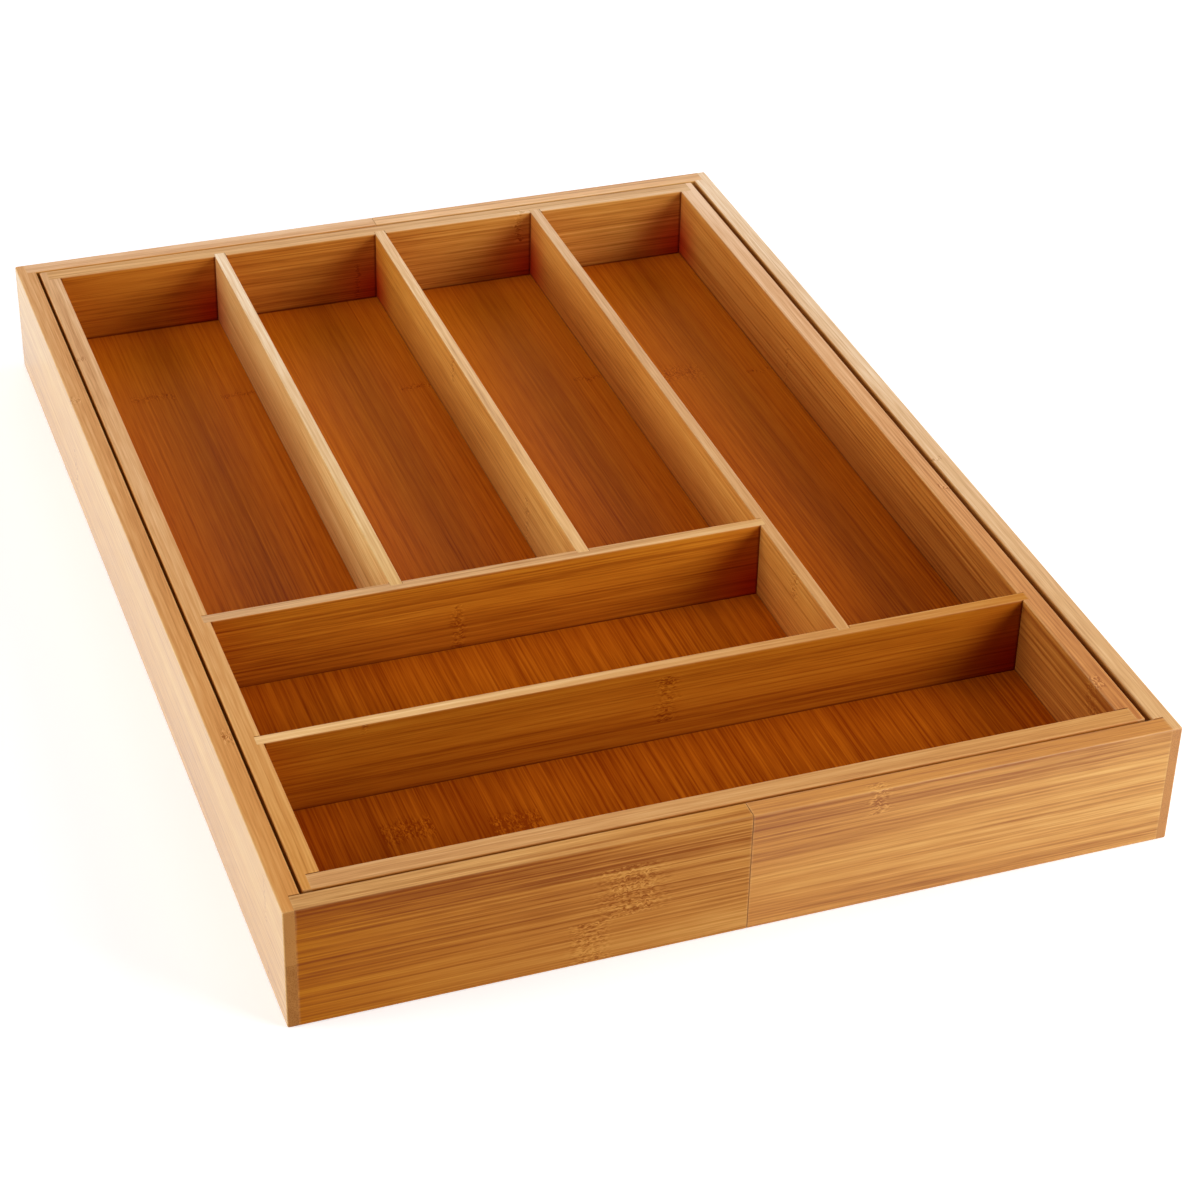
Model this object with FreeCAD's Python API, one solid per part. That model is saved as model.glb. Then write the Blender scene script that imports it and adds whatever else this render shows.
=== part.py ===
import FreeCAD, Part
import os

# Cutlery tray in laminated bamboo that pulls out to both sides, modelled closed, in millimetres.
# A fixed tray with six compartments stands on the floors of two U-shaped slides, which meet in the
# middle of the front and of the back. A slide is a side wall, two rails and a floor of its own.
# Keys in the tray's front and back walls run in stopped grooves in the rails: they guide the slides,
# hold the tray down and end the travel.
# +X is the way that the right slide pulls out, +Y points to the back and +Z up. The origin is the
# middle of the closed tray's footprint, on the surface that it stands on.

# Overall size, closed
closed_width = 330.0
overall_depth = 470.0
overall_height = 50.0

# Board thicknesses
frame_wall = 8.0
tray_wall = 8.0
partition = 5.0
slide_floor = 4.0
tray_floor = 4.0

# Compartments: equal lanes share the width, and the two crosswise ones in front have a depth of their own
lane_count = 4
cross_lane = 74.0

# Clearances between the tray and the closed slides
left_gap = 1.2
right_gap = 2.3
front_gap = 1.0
back_gap = 1.0
running_gap = 0.3
seam_gap = 0.1

# Glued joints: what the corner rebates leave of the frame's and the tray's side walls, how deep the
# partitions are housed in walls and in each other, and the grooves that hold the floors
frame_corner_lip = 4.0
tray_corner_lip = 3.0
wall_housing = 2.5
partition_housing = 2.0
floor_groove = 3.0
floor_play = 0.5
slide_lip = 4.5
tray_lip = 5.0

# Guide keys, their seats in the tray's walls and the stopped grooves that they run in
key_length = 28.0
key_height = 5.0
key_seat = 2.5
key_reach = 3.0
key_play = 0.3
key_inset = 2.0
stop_land = 11.0

# Radii of the broken edges
frame_round = 0.8
tray_round = 0.6
partition_round = 0.5
meeting_round = 0.25

# How far a cutting tool runs past the board, and how close a corner counts as lying on a plane
overrun = 1.0
snap = 1e-6

# Faces of the closed frame
frame_right = closed_width / 2
frame_back = overall_depth / 2
frame_front = -frame_back

# Heights, from the ground up: slide floor, tray walls, tray floor, rims
slide_floor_top = slide_lip + slide_floor
tray_bottom = slide_floor_top + running_gap
tray_floor_bottom = tray_bottom + tray_lip
tray_floor_top = tray_floor_bottom + tray_floor
key_level = (tray_floor_top + overall_height) / 2

# Faces of the fixed tray, outside and inside
tray_left = -frame_right + frame_wall + left_gap
tray_right = frame_right - frame_wall - right_gap
tray_front = frame_front + frame_wall + front_gap
tray_back = frame_back - frame_wall - back_gap
inside_left = tray_left + tray_wall
inside_right = tray_right - tray_wall
inside_front = tray_front + tray_wall
inside_back = tray_back - tray_wall

# Partitions: each place is the partition's left or front face
lane_width = (inside_right - inside_left - (lane_count - 1) * partition) / lane_count
lane_pitch = lane_width + partition
divider_places = [inside_left + lane_width + number * lane_pitch for number in range(lane_count - 1)]
front_cross_place = inside_front + cross_lane
short_cross_place = front_cross_place + partition + cross_lane


def box(corner, opposite):
    """Block between two opposite corners, given in either order."""
    low = FreeCAD.Vector(*[min(pair) for pair in zip(corner, opposite)])
    high = FreeCAD.Vector(*[max(pair) for pair in zip(corner, opposite)])
    size = high - low
    return Part.makeBox(size.x, size.y, size.z, low)


def slot(first_x, last_x, level, height, first_y, last_y):
    """Round-ended bar along X, as a router cuts it, from one Y to another."""
    radius = height / 2
    low_x, high_x = min(first_x, last_x), max(first_x, last_x)

    def point(x, z):
        return FreeCAD.Vector(x, first_y, z)

    low_start, low_end = point(low_x + radius, level - radius), point(high_x - radius, level - radius)
    high_end, high_start = point(high_x - radius, level + radius), point(low_x + radius, level + radius)
    outline = Part.Wire([
        Part.LineSegment(low_start, low_end).toShape(),
        Part.Arc(low_end, point(high_x, level), high_end).toShape(),
        Part.LineSegment(high_end, high_start).toShape(),
        Part.Arc(high_start, point(low_x, level), low_start).toShape(),
    ])
    return Part.Face(outline).extrude(FreeCAD.Vector(0, last_y - first_y, 0))


def lies_on(edge, bounds, side):
    """Whether an edge lies on one side of a bounding box, named as left, front, bottom and so on."""
    axis, place = {
        "left": ("x", bounds.XMin),
        "right": ("x", bounds.XMax),
        "front": ("y", bounds.YMin),
        "back": ("y", bounds.YMax),
        "bottom": ("z", bounds.ZMin),
        "top": ("z", bounds.ZMax),
    }[side]
    return all(abs(getattr(vertex.Point, axis) - place) < snap for vertex in edge.Vertexes)


def break_edges(board, corners, radius):
    """Rounds the edges of a board where two of its sides meet, each written as 'left top'."""
    bounds = board.BoundBox
    chosen = []
    for edge in board.Edges:
        if any(all(lies_on(edge, bounds, side) for side in corner.split()) for corner in corners):
            chosen.append(edge)
    return board.makeFillet(radius, chosen)


def break_meeting_end(rail, end, inner_face):
    """Eases the end where a rail meets the opposite one, outside and on top."""
    bounds = rail.BoundBox
    outline = [edge for edge in rail.Edges if lies_on(edge, bounds, end)]
    kept_sharp = ("bottom", inner_face)
    chosen = [edge for edge in outline if not any(lies_on(edge, bounds, side) for side in kept_sharp)]
    return rail.makeFillet(meeting_round, chosen)


def side_wall(side, outer_x, thickness, lip, front, back, bottom, floor_low, floor_high, radius):
    """Side board with a rebate at each end for the front and back boards, grooved for its floor."""
    outward, inward = ("right", "left") if side > 0 else ("left", "right")
    inner_x = outer_x - side * thickness
    lip_x = outer_x - side * lip
    past_x = inner_x - side * overrun
    top = overall_height
    board = box((outer_x, front, bottom), (inner_x, back, top))
    rims = [f"{outward} top", f"{inward} top", "front top", "back top"]
    corners = [f"{outward} front", f"{outward} back"]
    feet = [f"{outward} bottom", "front bottom", "back bottom"]
    board = break_edges(board, rims + corners + feet, radius)
    rebates = [
        box((lip_x, front - overrun, bottom - overrun), (past_x, front + thickness, top + overrun)),
        box((lip_x, back + overrun, bottom - overrun), (past_x, back - thickness, top + overrun)),
    ]
    groove_x = inner_x + side * floor_groove
    groove = box((groove_x, front - overrun, floor_low), (past_x, back + overrun, floor_high))
    return board.cut(rebates + [groove])


def end_groove(inner_y, inward, first_x, last_x, floor_low, floor_high):
    """Tool for the floor's groove along the inner face of a front or back board."""
    deep = (first_x, inner_y - inward * floor_groove, floor_low)
    return box(deep, (last_x, inner_y + inward * overrun, floor_high))


def key_span(side):
    """Inner and outer end of the keys on one side, along X."""
    wall_end = tray_right if side > 0 else tray_left
    outer_end = wall_end - side * (tray_corner_lip + key_inset)
    return outer_end - side * key_length, outer_end


def stop_place(side):
    """Where the rails' guide grooves end, a land short of the meeting ends."""
    return side * (seam_gap / 2 + stop_land)


def travel(side):
    """How far a slide pulls out before its keys meet the ends of their grooves."""
    return abs(key_span(side)[0] - stop_place(side)) - key_play


def slide_rail(side, outer_y, inward):
    """Front or back rail of a slide: inward is the direction of its inner face along Y."""
    start_x = side * (frame_right - frame_corner_lip)
    end_x = side * seam_gap / 2
    inner_y = outer_y + inward * frame_wall
    outer_face, inner_face = ("front", "back") if inward > 0 else ("back", "front")
    meeting_end = "left" if side > 0 else "right"
    rail = box((start_x, outer_y, 0), (end_x, inner_y, overall_height))
    rail = break_edges(rail, [f"{outer_face} top", f"{inner_face} top", f"{outer_face} bottom"], frame_round)
    rail = break_meeting_end(rail, meeting_end, inner_face)
    floor_slot = end_groove(
        inner_y, inward, start_x + side * overrun, end_x - side * overrun, slide_lip, slide_floor_top)
    guide = slot(
        stop_place(side), key_span(side)[1] + side * key_play, key_level, key_height + 2 * key_play,
        inner_y - inward * (key_reach + key_play), inner_y + inward * overrun)
    return rail.cut([floor_slot, guide])


def slide_floor_board(side):
    """Floor of a slide, in the grooves of its wall and rails, open at the meeting end."""
    edge = frame_wall - floor_groove + floor_play
    low = (side * seam_gap / 2, frame_front + edge, slide_lip)
    return box(low, (side * (frame_right - edge), frame_back - edge, slide_floor_top))


def slide_wall(side):
    """Side wall of a slide, the full depth of the tray."""
    return side_wall(
        side, side * frame_right, frame_wall, frame_corner_lip, frame_front, frame_back, 0,
        slide_lip, slide_floor_top, frame_round)


def tray_side_wall(side):
    """Side wall of the fixed tray, with housings for the crosswise partitions that reach it."""
    outer_x = tray_right if side > 0 else tray_left
    inner_x = outer_x - side * tray_wall
    wall = side_wall(
        side, outer_x, tray_wall, tray_corner_lip, tray_front, tray_back, tray_bottom,
        tray_floor_bottom, tray_floor_top, tray_round)
    reached = [front_cross_place] if side > 0 else [front_cross_place, short_cross_place]
    housings = []
    for place in reached:
        deep = (inner_x + side * wall_housing, place, tray_floor_top)
        housings.append(box(deep, (inner_x - side * overrun, place + partition, overall_height + overrun)))
    return wall.cut(housings)


def tray_end_wall(outer_y, inward):
    """Front or back wall of the fixed tray, grooved for the floor and mortised for the guide keys."""
    outer_face, inner_face = ("front", "back") if inward > 0 else ("back", "front")
    inner_y = outer_y + inward * tray_wall
    first_x, last_x = tray_left + tray_corner_lip, tray_right - tray_corner_lip
    wall = box((first_x, outer_y, tray_bottom), (last_x, inner_y, overall_height))
    wall = break_edges(wall, [f"{outer_face} top", f"{inner_face} top"], tray_round)
    tools = [end_groove(inner_y, inward, first_x - overrun, last_x + overrun, tray_floor_bottom, tray_floor_top)]
    for side in (-1, 1):
        inner_end, outer_end = key_span(side)
        tools.append(slot(
            inner_end, outer_end, key_level, key_height,
            outer_y - inward * overrun, outer_y + inward * key_seat))
    return wall.cut(tools)


def tray_back_wall():
    """Back wall of the fixed tray, with a housing for each partition between the lanes."""
    housings = []
    for place in divider_places:
        deep = (place, inside_back + wall_housing, tray_floor_top)
        housings.append(box(deep, (place + partition, inside_back - overrun, overall_height + overrun)))
    return tray_end_wall(tray_back, -1).cut(housings)


def tray_floor_board():
    """Floor of the fixed tray, held in grooves all round."""
    hold = floor_groove - floor_play
    low = (inside_left - hold, inside_front - hold, tray_floor_bottom)
    return box(low, (inside_right + hold, inside_back + hold, tray_floor_top))


def guide_key(side, outer_y, inward, gap):
    """Round-ended key, glued into a tray wall, that reaches across the gap into a rail's groove."""
    inner_end, outer_end = key_span(side)
    return slot(
        inner_end, outer_end, key_level, key_height,
        outer_y + inward * key_seat, outer_y - inward * (gap + key_reach))


def lengthwise_divider(place, front):
    """Partition between two lanes: housed in the back wall and in the crosswise partition in front."""
    low = (place, front, tray_floor_top)
    board = box(low, (place + partition, inside_back + wall_housing, overall_height))
    return break_edges(board, ["left top", "right top"], partition_round)


def crosswise_divider(place, right_end, met_from_behind):
    """Partition across the tray, housed for the lengthwise ones that meet it from behind."""
    low = (inside_left - wall_housing, place, tray_floor_top)
    board = box(low, (right_end, place + partition, overall_height))
    board = break_edges(board, ["front top", "back top"], partition_round)
    back = place + partition
    housings = []
    for divider in met_from_behind:
        deep = (divider, back - partition_housing, tray_floor_top - overrun)
        housings.append(box(deep, (divider + partition, back + overrun, overall_height + overrun)))
    return board.cut(housings)


def long_divider():
    """Partition beside the long knife lane, with a housing for the short crosswise partition."""
    place = divider_places[-1]
    board = lengthwise_divider(place, front_cross_place + partition - partition_housing)
    deep = (place + partition_housing, short_cross_place, tray_floor_top - overrun)
    return board.cut(box(deep, (place - overrun, short_cross_place + partition, overall_height + overrun)))


def build():
    """Every piece of the tray, by name."""
    lane_front = short_cross_place + partition - partition_housing
    pieces = {
        "tray_left_wall": tray_side_wall(-1),
        "tray_right_wall": tray_side_wall(1),
        "tray_front_wall": tray_end_wall(tray_front, 1),
        "tray_back_wall": tray_back_wall(),
        "tray_floor": tray_floor_board(),
        "fork_lane_divider": lengthwise_divider(divider_places[0], lane_front),
        "spoon_lane_divider": lengthwise_divider(divider_places[1], lane_front),
        "long_lane_divider": long_divider(),
        "short_cross_divider": crosswise_divider(
            short_cross_place, divider_places[-1] + partition_housing, divider_places[:-1]),
        "front_cross_divider": crosswise_divider(
            front_cross_place, inside_right + wall_housing, divider_places[-1:]),
    }
    for side, name in ((-1, "left"), (1, "right")):
        pieces[f"{name}_slide_wall"] = slide_wall(side)
        pieces[f"{name}_slide_front_rail"] = slide_rail(side, frame_front, 1)
        pieces[f"{name}_slide_back_rail"] = slide_rail(side, frame_back, -1)
        pieces[f"{name}_slide_floor"] = slide_floor_board(side)
        pieces[f"{name}_front_guide_key"] = guide_key(side, tray_front, 1, front_gap)
        pieces[f"{name}_back_guide_key"] = guide_key(side, tray_back, -1, back_gap)
    return pieces


def main():
    """Writes one STEP file for each piece and prints the sizes that follow from the others."""
    os.makedirs("parts", exist_ok=True)
    for name, shape in build().items():
        solid = shape.Solids[0]
        if len(shape.Solids) != 1 or not solid.isValid():
            raise ValueError(f"{name} is not one valid solid")
        solid.exportStep(f"parts/{name}.step")
    print(f"lane width {lane_width:.2f}, tray floor at {tray_floor_top:.2f}")
    print(f"travel left {travel(-1):.2f}, right {travel(1):.2f}")


main()
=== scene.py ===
"""Looks of a bamboo cutlery tray that pulls out to both sides: finishes, studio and camera."""
import logging
import math
from dataclasses import dataclass, field, replace
from enum import Enum
from typing import Dict, List, Sequence, Tuple, Union

import bpy
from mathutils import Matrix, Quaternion, Vector


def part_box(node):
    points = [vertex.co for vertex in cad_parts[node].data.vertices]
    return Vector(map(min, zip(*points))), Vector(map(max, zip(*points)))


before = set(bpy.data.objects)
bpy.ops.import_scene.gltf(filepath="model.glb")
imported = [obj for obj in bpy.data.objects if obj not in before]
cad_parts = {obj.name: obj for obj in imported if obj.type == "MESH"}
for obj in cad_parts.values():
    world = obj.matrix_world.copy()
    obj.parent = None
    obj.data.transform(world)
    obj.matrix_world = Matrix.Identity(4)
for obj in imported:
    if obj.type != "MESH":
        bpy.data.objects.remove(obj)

LOG = logging.getLogger("cutlery_tray")
MM = 0.001

Socket = bpy.types.NodeSocket
Pair = Tuple[float, float]
Triple = Tuple[float, float, float]
Input = Union[Socket, float, Triple, Vector]


class Direction(Enum):
    """Axis of the tray along which fibres run or strips lie side by side."""

    SIDEWAYS = (1.0, 0.0, 0.0)
    LENGTHWISE = (0.0, 1.0, 0.0)
    UPRIGHT = (0.0, 0.0, 1.0)


class Side(Enum):
    """The slide that pulls out to the left, and the one that pulls out to the right."""

    LEFT = "left"
    RIGHT = "right"


@dataclass(frozen=True)
class Noise:
    """Noise in a board; scales along, across and through it, in cycles per metre."""

    scales: Triple
    detail: float = 1.0
    roughness: float = 0.5


@dataclass(frozen=True)
class Grain:
    """What all the bamboo has in common; lengths in metres, tones as shares of the way from dark to light."""

    face_turn: Pair = (0.6, 0.85)
    layer_start: float = -0.5 * MM
    strip_slope: float = 0.006
    glue_width: float = 0.3 * MM
    wobble: Noise = Noise((300.0, 300.0, 1.0), detail=0.0)
    wobble_reach: float = 6.0 * MM
    knuckle_shown: Pair = (0.2, 0.35)
    knuckle_growth: float = 1.1
    knuckle_least: float = 0.1
    knuckle_core: float = 0.15
    ridge_width: Pair = (0.1 * MM, 1.2 * MM)
    seed_step: float = 0.618
    seed_run: Pair = (17.0, 5.0)
    crook: Noise = Noise((620.0, 320.0, 320.0), detail=0.0)
    crook_reach: float = 1.7 * MM
    sway: Noise = Noise((3.0, 10.0, 10.0), detail=0.0)
    sway_reach: float = 1.2 * MM
    bands: Noise = Noise((1.6, 85.0, 85.0), roughness=0.55)
    streaks: Noise = Noise((3.5, 330.0, 330.0), roughness=0.6)
    lines: Noise = Noise((7.0, 950.0, 950.0), roughness=0.6)
    dashes: Noise = Noise((60.0, 1500.0, 1500.0))
    specks: Noise = Noise((480.0, 1900.0, 1900.0))
    cloud: Noise = Noise((11.0, 30.0, 30.0))
    narrow_calm: float = -0.4
    knuckle_life: float = 0.5
    speck_tone: float = 1.7
    cloud_tone: float = 0.3
    dash_tone: float = 0.55
    ridge_tone: float = -0.1
    glue_tone: float = -0.1
    dark: Triple = (0.54, 0.36, 0.2)
    light: Triple = (1.3, 1.62, 2.2)
    line_relief: float = 0.7
    dash_relief: float = 0.5
    glue_relief: float = -0.5
    bundle_scale: float = 1400.0
    bundle_edge: Pair = (0.15, 0.5)
    patch_scale: float = 0.16
    end_tone: float = 0.1
    bundle_tone: float = 0.3
    end_strip_tone: float = -0.7
    patch_tone: float = 0.6
    end_dark: Triple = (0.5, 0.36, 0.22)
    edge_scale: float = 160.0
    edge_detail: float = 2.0
    edge_least: float = 0.5
    # Reach of the painted deep shade from a board's far joint and up from its foot.
    deep_run: float = 30.0 * MM
    deep_rise: Pair = (5.0 * MM, 32.0 * MM)


class Graph:
    """Node tree with short calls for the nodes that the finishes are made of."""

    def __init__(self, tree: bpy.types.NodeTree) -> None:
        """Wraps a node tree."""
        self.tree = tree

    def node(self, kind: str, **settings: object) -> bpy.types.Node:
        """Adds a node.

        Args:
            kind: Blender's name of the node type.
            settings: properties to set on it.

        Returns:
            The new node.
        """
        made = self.tree.nodes.new(kind)
        for name, value in settings.items():
            setattr(made, name, value)
        return made

    def feed(self, socket: Socket, value: Input) -> None:
        """Links a socket to another one, or sets its plain value.

        Args:
            socket: the input to feed.
            value: an output socket, a number or a triple.
        """
        if isinstance(value, bpy.types.NodeSocket):
            self.tree.links.new(value, socket)
        else:
            socket.default_value = value

    def math(self, operation: str, first: Input, second: Input = 0.0, third: Input = 0.0) -> Socket:
        """Adds a Math node.

        Args:
            operation: Blender's name of the operation.
            first: first operand.
            second: second operand, where the operation has one.
            third: third operand, where the operation has one.

        Returns:
            The result.
        """
        made = self.node("ShaderNodeMath", operation=operation)
        for socket, value in zip(made.inputs, (first, second, third)):
            self.feed(socket, value)
        return made.outputs[0]

    def centred(self, value: Input, weight: Input) -> Socket:
        """Gives a value around one half as a weighted value around zero."""
        return self.math("MULTIPLY", self.math("SUBTRACT", value, 0.5), weight)

    def total(self, values: Sequence[Input]) -> Socket:
        """Adds several values.

        Args:
            values: two or more addends.

        Returns:
            Their sum.
        """
        result = values[0]
        for value in values[1:]:
            result = self.math("ADD", result, value)
        return result

    def vector_math(self, operation: str, first: Input, second: Input = (0.0, 0.0, 0.0)) -> bpy.types.Node:
        """Adds a Vector Math node.

        Args:
            operation: Blender's name of the operation.
            first: first operand.
            second: second operand, where the operation has one.

        Returns:
            The node, whose outputs are Vector and Value.
        """
        made = self.node("ShaderNodeVectorMath", operation=operation)
        self.feed(made.inputs[0], first)
        self.feed(made.inputs[1], second)
        return made

    def dot(self, first: Input, second: Input) -> Socket:
        """Gives the dot product of two vectors."""
        return self.vector_math("DOT_PRODUCT", first, second).outputs["Value"]

    def vector(self, x: Input, y: Input, z: Input) -> Socket:
        """Joins three values into a vector.

        Args:
            x: first component.
            y: second component.
            z: third component.

        Returns:
            The vector.
        """
        made = self.node("ShaderNodeCombineXYZ")
        for socket, value in zip(made.inputs, (x, y, z)):
            self.feed(socket, value)
        return made.outputs[0]

    def scaled(self, values: Sequence[Input], scales: Sequence[float]) -> Socket:
        """Joins three values into a vector, each times a scale.

        Args:
            values: the three components.
            scales: their scales, in cycles per metre.

        Returns:
            The scaled vector.
        """
        return self.vector(*[self.math("MULTIPLY", value, scale) for value, scale in zip(values, scales)])

    def noise(self, place: Input, detail: float = 0.0, roughness: float = 0.5) -> Socket:
        """Adds a Noise texture at its natural scale.

        Args:
            place: where to read the noise.
            detail: number of finer octaves.
            roughness: weight of the finer octaves.

        Returns:
            The noise, around one half.
        """
        made = self.node("ShaderNodeTexNoise", noise_dimensions="3D")
        self.feed(made.inputs["Vector"], place)
        self.feed(made.inputs["Scale"], 1.0)
        self.feed(made.inputs["Detail"], detail)
        self.feed(made.inputs["Roughness"], roughness)
        return made.outputs[0]

    def stretched(self, values: Sequence[Input], noise: Noise) -> Socket:
        """Reads a board's noise at a place in the board."""
        return self.noise(self.scaled(values, noise.scales), noise.detail, noise.roughness)

    def hashed(self, place: Input) -> Sequence[Socket]:
        """Gives three values from zero to one that belong to a cell.

        Args:
            place: the cell, as a vector of whole numbers.

        Returns:
            Three sockets.
        """
        made = self.node("ShaderNodeTexWhiteNoise", noise_dimensions="3D")
        self.feed(made.inputs["Vector"], place)
        parts = self.node("ShaderNodeSeparateColor")
        self.feed(parts.inputs[0], made.outputs["Color"])
        return parts.outputs

    def rise(self, value: Input, low: Input, high: Input) -> Socket:
        """Gives a smooth step from zero to one.

        Args:
            value: what is compared.
            low: where the step starts.
            high: where the step ends.

        Returns:
            The step.
        """
        made = self.node("ShaderNodeMapRange", interpolation_type="SMOOTHSTEP")
        self.feed(made.inputs["Value"], value)
        self.feed(made.inputs["From Min"], low)
        self.feed(made.inputs["From Max"], high)
        return made.outputs[0]

    def fall(self, value: Input, low: Input, high: Input) -> Socket:
        """Gives a smooth step from one to zero."""
        return self.math("SUBTRACT", 1.0, self.rise(value, low, high))

    def blend(self, factor: Input, first: Input, second: Input, mode: str = "MIX") -> Socket:
        """Blends two colours.

        Args:
            factor: share of the second colour.
            first: first colour.
            second: second colour, a socket or a linear triple.
            mode: Blender's name of the blend mode.

        Returns:
            The blended colour.
        """
        made = self.node("ShaderNodeMix", data_type="RGBA", blend_type=mode)
        self.feed(made.inputs["Factor"], factor)
        for socket, value in zip((made.inputs[6], made.inputs[7]), (first, second)):
            self.feed(socket, value if isinstance(value, bpy.types.NodeSocket) else (*value, 1.0))
        return made.outputs[2]

    def group(self, tree: bpy.types.NodeTree, values: Dict[str, Input]) -> bpy.types.bpy_prop_collection:
        """Places a node group and feeds its named inputs.

        Args:
            tree: the group.
            values: what each input gets.

        Returns:
            The group's outputs.
        """
        made = self.node("ShaderNodeGroup", node_tree=tree)
        for name, value in values.items():
            self.feed(made.inputs[name], value)
        return made.outputs


class GroupGraph(Graph):
    """Node group with named sockets."""

    def __init__(self, name: str, takes: Sequence[Tuple[str, str]], gives: Sequence[Tuple[str, str]]) -> None:
        """Makes an empty group.

        Args:
            name: the group's name.
            takes: name and kind of each input.
            gives: name and kind of each output.
        """
        super().__init__(bpy.data.node_groups.new(name, "ShaderNodeTree"))
        for direction, sockets in (("INPUT", takes), ("OUTPUT", gives)):
            for label, kind in sockets:
                self.tree.interface.new_socket(label, in_out=direction, socket_type=f"NodeSocket{kind}")
        self.takes = self.node("NodeGroupInput").outputs
        self.gives = self.node("NodeGroupOutput").inputs


class BambooGroups:
    """Node groups that every bamboo finish shares, each built once."""

    def __init__(self, grain: Grain) -> None:
        """Builds all the groups.

        Args:
            grain: what all the bamboo has in common.
        """
        self.grain = grain
        self.axes = self.build_axes()
        self.strips = self.build_strips()
        self.fibres = self.build_fibres()
        self.colour = self.build_colour()
        self.end_grain = self.build_end_grain()
        self.edges = self.build_edges()
        self.joints = self.build_joints()

    def build_axes(self) -> bpy.types.NodeTree:
        """Makes the group that turns a place on the tray into a place in a board.

        Returns:
            The group, whose places are in metres: along the fibres from the middle of the tray, and across
            the strips and through the layers from the board's low corner.
        """
        graph = GroupGraph(
            "board axes",
            [("Fibre Direction", "Vector"), ("Strip Direction", "Vector"), ("Low Corner", "Vector")],
            [("Along", "Float"), ("Across", "Float"), ("Through", "Float"), ("End Face", "Float"),
             ("Narrow Face", "Float")])
        fibre, strip = graph.takes["Fibre Direction"], graph.takes["Strip Direction"]
        plane = graph.vector_math("ADD", fibre, strip).outputs["Vector"]
        through = graph.vector_math("SUBTRACT", (1.0, 1.0, 1.0), plane).outputs["Vector"]
        place = graph.node("ShaderNodeTexCoord").outputs
        inside = graph.vector_math("SUBTRACT", place["Object"], graph.takes["Low Corner"]).outputs["Vector"]
        graph.feed(graph.gives["Along"], graph.dot(place["Object"], fibre))
        graph.feed(graph.gives["Across"], graph.dot(inside, strip))
        graph.feed(graph.gives["Through"], graph.dot(inside, through))
        for name, axis in (("End Face", fibre), ("Narrow Face", strip)):
            facing = graph.math("ABSOLUTE", graph.dot(place["Normal"], axis))
            graph.feed(graph.gives[name], graph.rise(facing, *self.grain.face_turn))
        return graph.tree

    def build_strips(self) -> bpy.types.NodeTree:
        """Makes the group for the strips that a board is pressed from, with their knuckles.

        Returns:
            The group.
        """
        graph = GroupGraph(
            "bamboo strips",
            [("Along", "Float"), ("Across", "Float"), ("Through", "Float"), ("Seed", "Float"),
             ("Strip Width", "Float"), ("Strip Start", "Float"), ("Layer Depth", "Float"),
             ("Knuckle Place", "Float"), ("Knuckle Shift", "Float"), ("Layer Shift", "Float"),
             ("Knuckle Pitch", "Float"), ("Knuckle Reach", "Float"), ("Narrow Face", "Float"),
             ("Narrow Knuckle", "Float")],
            [("Tone", "Float"), ("Slope", "Float"), ("Glue Line", "Float"), ("Knuckle", "Float"),
             ("Ridge", "Float")])
        takes, grain = graph.takes, self.grain
        strip, strip_gap = self.cells(graph, takes["Across"], takes["Strip Start"], takes["Strip Width"])
        layer, layer_gap = self.cells(graph, takes["Through"], grain.layer_start, takes["Layer Depth"])
        tone, slope, width = graph.hashed(graph.vector(strip, layer, takes["Seed"]))[:3]
        graph.feed(graph.gives["Tone"], tone)
        graph.feed(graph.gives["Slope"], graph.centred(slope, grain.strip_slope))
        gap = graph.math("MINIMUM", strip_gap, layer_gap)
        graph.feed(graph.gives["Glue Line"], graph.fall(gap, 0.0, grain.glue_width))

        start = graph.total([
            takes["Knuckle Place"], graph.math("MULTIPLY", strip, takes["Knuckle Shift"]),
            graph.math("MULTIPLY", layer, takes["Layer Shift"])])
        wobble = graph.stretched((takes["Across"], takes["Through"], takes["Seed"]), grain.wobble)
        place = graph.math("ADD", takes["Along"], graph.centred(wobble, grain.wobble_reach))
        turns = graph.math("DIVIDE", graph.math("SUBTRACT", place, start), takes["Knuckle Pitch"])
        offset = graph.math("SUBTRACT", turns, graph.math("ROUND", turns))
        distance = graph.math("MULTIPLY", graph.math("ABSOLUTE", offset), takes["Knuckle Pitch"])
        squared = graph.math("MULTIPLY", width, width)
        share = graph.math("MULTIPLY_ADD", squared, grain.knuckle_growth, grain.knuckle_least)
        reach = graph.math("MULTIPLY", share, takes["Knuckle Reach"])
        faint = graph.math("SUBTRACT", 1.0, takes["Narrow Knuckle"])
        kept = graph.math("SUBTRACT", 1.0, graph.math("MULTIPLY", takes["Narrow Face"], faint))
        shown = graph.math("MULTIPLY", graph.rise(width, *grain.knuckle_shown), kept)
        near = graph.fall(distance, graph.math("MULTIPLY", reach, grain.knuckle_core), reach)
        ridge = graph.fall(distance, *grain.ridge_width)
        graph.feed(graph.gives["Knuckle"], graph.math("MULTIPLY", shown, near))
        graph.feed(graph.gives["Ridge"], graph.math("MULTIPLY", shown, ridge))
        return graph.tree

    @staticmethod
    def cells(graph: Graph, place: Input, start: Input, width: Input) -> Tuple[Socket, Socket]:
        """Divides a direction into cells.

        Args:
            graph: the node tree to add to.
            place: place along the direction.
            start: where the first cell starts.
            width: width of a cell.

        Returns:
            The cell's number, and the distance to the nearest cell border.
        """
        position = graph.math("DIVIDE", graph.math("SUBTRACT", place, start), width)
        share = graph.math("FRACT", position)
        nearest = graph.math("MINIMUM", share, graph.math("SUBTRACT", 1.0, share))
        return graph.math("FLOOR", position), graph.math("MULTIPLY", nearest, width)

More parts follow.
